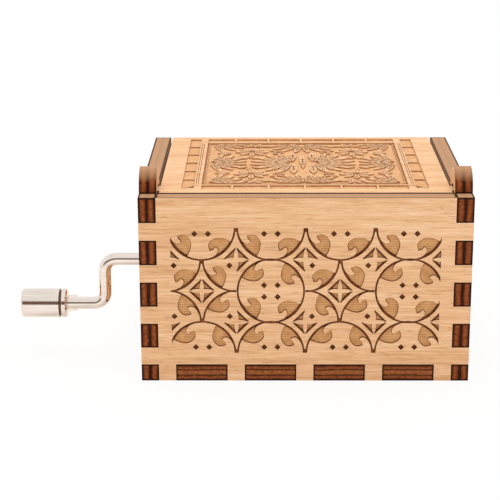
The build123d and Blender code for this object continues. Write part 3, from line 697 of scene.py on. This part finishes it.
# node: finish, body, material slot, width of its broken edges
hardware = {
    "crank_rod": (nickel, "crank", "nickel", 0.0),
    "crank_knob": (nickel, "knob", "nickel", 0.06),
    "worm_shaft": (plated, "crank", "plated_steel", 0.0),
    "shaft_clip": (plated, "crank", "plated_steel", 0.05),
    "bedplate": (cast_zinc, "case", "cast_metal", 0.12),
    "gear_bracket": (plated, "case", "plated_steel", 0.08),
    "comb": (comb_steel, "case", "comb_steel", 0.03),
    "comb_weights": (lead, "case", "lead", 0.05),
    "pin_cylinder": (brass, "cylinder", "brass", 0.0),
    "cylinder_arbor": (plated, "cylinder", "plated_steel", 0.08),
    "cylinder_end_cap": (brass, "cylinder", "brass", 0.06),
    "worm_wheel": (nylon, "cylinder", "nylon", 0.0),
    "mounting_screws": (screw_steel, "case", "screw_steel", 0.05),
    "comb_screws": (screw_steel, "case", "screw_steel", 0.08),
    "bracket_screws": (screw_steel, "case", "screw_steel", 0.08),
}
# the knob's groove, measured back from its inner end, takes a darker nickel as painted shade
collar_length, groove_end = 1.12 * mm, 1.61 * mm
for name, (finish, body, slot, broken_edge) in hardware.items():
    bm = merged_copy(name)
    finishes = [finish]
    if name == "crank_knob":
        finishes = [finish, painted_groove_shade]
        inner_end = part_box(name)[1].x
        for face in bm.faces:
            behind = inner_end - face.calc_center_median().x
            face.material_index = int(collar_length < behind < groove_end)
    piece = add_piece(name, bm, finishes, body)
    if broken_edge:
        edge = piece.modifiers.new("broken_edges", "BEVEL")
        edge.width = broken_edge * mm
        edge.segments = 2
        edge.limit_method = "ANGLE"
        edge.angle_limit = bevel_above


# ------------------------------------------------------------------------ floor and light
floor_glow = 0.9
ambient = 0.85
lamps_aim = Vector((0, 0, 0.02))


def plain_sheet(name, corners, material):
    bm = bmesh.new()
    bm.faces.new([bm.verts.new(c) for c in corners])
    mesh = bpy.data.meshes.new(name)
    bm.to_mesh(mesh)
    bm.free()
    mesh.materials.append(material)
    sheet = bpy.data.objects.new(name, mesh)
    scene.collection.objects.link(sheet)
    return sheet


def pale_floor():
    """White floor that keeps a soft part of the object's shadow."""
    material, tree, shader = new_finish("pale_floor", 0.9, gloss=0.0)
    shader.inputs["Base Color"].default_value = paint(250, 249, 247)
    paths = node(tree, "ShaderNodeLightPath")
    glow = node(tree, "ShaderNodeEmission", {"Color": (1, 1, 1, 1), "Strength": 1.0})
    share = combine(tree, "MULTIPLY", paths.outputs["Is Camera Ray"], floor_glow)
    mixed = node(tree, "ShaderNodeMixShader", {0: share, 1: shader.outputs[0], 2: glow.outputs[0]})
    tree.links.new(mixed.outputs[0], tree.nodes["Material Output"].inputs["Surface"])
    return material


def dark_strip():
    """The gap between two soft boxes, behind the camera, gives polished metal its line."""
    material, _, shader = new_finish("studio_gap", 0.9)
    shader.inputs["Base Color"].default_value = paint(112, 88, 76)
    half_width, back, low, high = 0.5, -0.36, 0.03, 0.21
    corners = [(x, back, z) for x, z in bar(-half_width, low, half_width, high)]
    strip = plain_sheet("studio_gap", corners, material)
    strip.visible_camera = False
    strip.visible_diffuse = False
    strip.visible_shadow = False


def pale_world():
    """Even light from all round, seen as plain white by the camera and in polished metal."""
    world = bpy.data.worlds.new("studio")
    scene.world = world
    world.use_nodes = True
    tree = world.node_tree
    paths = node(tree, "ShaderNodeLightPath")
    seen = combine(tree, "MAXIMUM", paths.outputs["Is Camera Ray"], paths.outputs["Is Glossy Ray"])
    seen = combine(tree, "MAXIMUM", seen, paths.outputs["Is Transmission Ray"])
    strength = combine(tree, "ADD", combine(tree, "MULTIPLY", seen, 1 - ambient), ambient)
    background = tree.nodes["Background"]
    background.inputs["Color"].default_value = (1, 1, 1, 1)
    tree.links.new(strength, background.inputs["Strength"])


def soft_lamp(name, where, size, power):
    data = bpy.data.lights.new(name, "AREA")
    data.size = size
    data.energy = power
    lamp = bpy.data.objects.new(name, data)
    scene.collection.objects.link(lamp)
    lamp.visible_glossy = False
    lamp.location = where
    lamp.rotation_euler = (lamps_aim - Vector(where)).to_track_quat("-Z", "Y").to_euler()


def aim_camera():
    """The photograph's viewpoint: a long lens, looking down a little, almost square on."""
    standpoint = Vector((-7.362, -311.82, 113.518)) * mm
    pitch, yaw, roll = radians(16.875), radians(-0.662), radians(-0.214)
    ahead = Vector((sin(yaw) * cos(pitch), cos(yaw) * cos(pitch), -sin(pitch)))
    level = Vector((cos(yaw), -sin(yaw), 0))
    rise = level.cross(ahead)
    right = level * cos(roll) + rise * sin(roll)
    top = rise * cos(roll) - level * sin(roll)
    data = bpy.data.cameras.new("camera")
    data.sensor_width = 36.0
    data.lens = 112.27
    data.clip_start, data.clip_end = 0.01, 20.0
    camera = bpy.data.objects.new("camera", data)
    scene.collection.objects.link(camera)
    turn = Matrix((right, top, -ahead)).transposed().to_4x4()
    camera.matrix_world = Matrix.Translation(standpoint) @ turn
    scene.camera = camera


plain_sheet("floor", [(-1.5, -0.6, 0), (1.5, -0.6, 0), (1.5, 1.8, 0), (-1.5, 1.8, 0)], pale_floor())
dark_strip()
pale_world()
soft_lamp("soft_box_left", (-0.35, -0.55, 0.55), size=0.5, power=0.3)
soft_lamp("soft_box_above", (0.0, 0.1, 0.8), size=0.7, power=2.5)
aim_camera()
scene.view_settings.view_transform = "Standard"
